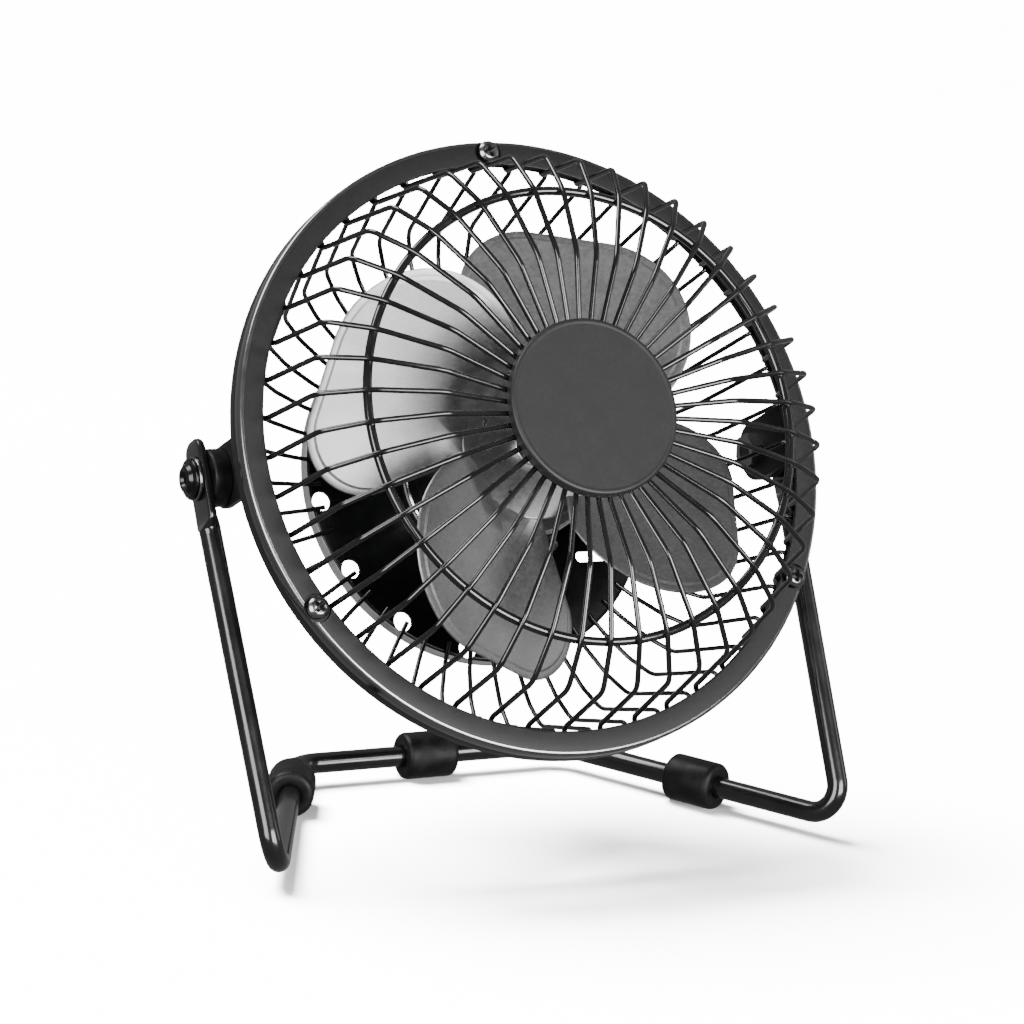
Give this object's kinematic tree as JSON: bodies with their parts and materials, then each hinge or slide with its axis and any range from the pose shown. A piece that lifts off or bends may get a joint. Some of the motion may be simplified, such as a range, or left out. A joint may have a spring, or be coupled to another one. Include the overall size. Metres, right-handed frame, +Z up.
{
  "type": "desk fan",
  "caption": "Small metal desk fan: a wire-caged head with pitched aluminium blades tilts between two bolts on a bent rod stand with rubber feet.",
  "frame": {"origin": "on the surface the fan stands on, under the middle of its bounding box", "axes": "+Z up; the fan blows towards -Y; +X is the viewer's right, along the pivot bolts"},
  "size_m": [0.1456, 0.0938, 0.1444],
  "materials": {
    "black_enamel": "gloss black stoved enamel",
    "rim_enamel": "fine-grained satin black enamel",
    "wire_enamel": "gloss black enamel",
    "badge_enamel": "fine-grained satin charcoal enamel",
    "plate_enamel": "satin black enamel",
    "foot_rubber": "matte black moulded rubber",
    "spacer_rubber": "matte black moulded rubber",
    "dark_zinc": "dark zinc plated",
    "bolt_black": "black plated, satin",
    "motor_steel": "bright zinc plated",
    "motor_plastic": "natural nylon",
    "bronze": null,
    "ferrite": "pressed ferrite",
    "brush_copper": null,
    "cover_plastic": "fine-textured black ABS",
    "board_green": "green solder mask",
    "switch_plastic": "black nylon",
    "rocker_plastic": "black nylon",
    "blade_aluminium": "fine brushed, satin",
    "hub_aluminium": "turned",
    "shaft_steel": "ground",
    "core_steel": "laminated",
    "winding_copper": null
  },
  "bodies": {
    "stand": {"stand_frame": "black_enamel", "foot_left": "foot_rubber", "foot_right": "foot_rubber", "foot_rear": "foot_rubber"},
    "head": {"front_ring": "rim_enamel", "rear_ring": "rim_enamel", "front_guard_wires": "wire_enamel", "front_guard_ring": "wire_enamel", "front_guard_hub": "wire_enamel", "badge": "badge_enamel", "rear_guard_wires": "wire_enamel", "rear_plate": "plate_enamel", "pivot_tab_left": "rim_enamel", "pivot_tab_right": "rim_enamel", "pivot_spacer_left": "spacer_rubber", "pivot_spacer_right": "spacer_rubber", "pivot_washer_left": "dark_zinc", "pivot_washer_right": "dark_zinc", "pivot_bolt_left": "bolt_black", "pivot_bolt_right": "bolt_black", "pivot_nut_left": "dark_zinc", "pivot_nut_right": "dark_zinc", "rim_screws": "dark_zinc", "rim_nuts": "dark_zinc", "motor_can": "motor_steel", "motor_end_cap": "motor_plastic", "motor_front_bush": "bronze", "motor_rear_bush": "bronze", "motor_magnets": "ferrite", "motor_brushes": "brush_copper", "motor_screws": "dark_zinc", "rear_cover": "cover_plastic", "cover_screws": "dark_zinc", "circuit_board": "board_green", "switch_body": "switch_plastic", "cable_inlet": "spacer_rubber"},
    "impeller": {"impeller_blades": "blade_aluminium", "impeller_hub": "hub_aluminium", "motor_shaft": "shaft_steel", "rotor_core": "core_steel", "rotor_windings": "winding_copper", "commutator": "brush_copper"},
    "rocker": {"switch_rocker": "rocker_plastic"}
  },
  "joints": [
    {"name": "head_tilt", "type": "hinge", "parent": "stand", "child": "head", "pos_m": [0, 0.0145, 0.07705], "axis": [-1, 0, 0], "range_deg": [-45, 65]},
    {"name": "impeller_spin", "type": "hinge", "parent": "head", "child": "impeller", "pos_m": [0, 0.0015, 0.08308], "axis": [0, -0.8788, 0.4772], "continuous": true},
    {"name": "switch_rock", "type": "hinge", "parent": "head", "child": "rocker", "pos_m": [0, 0.0374, 0.0727], "axis": [0, 0.4772, 0.8788], "range_deg": [-18, 0]}
  ]
}
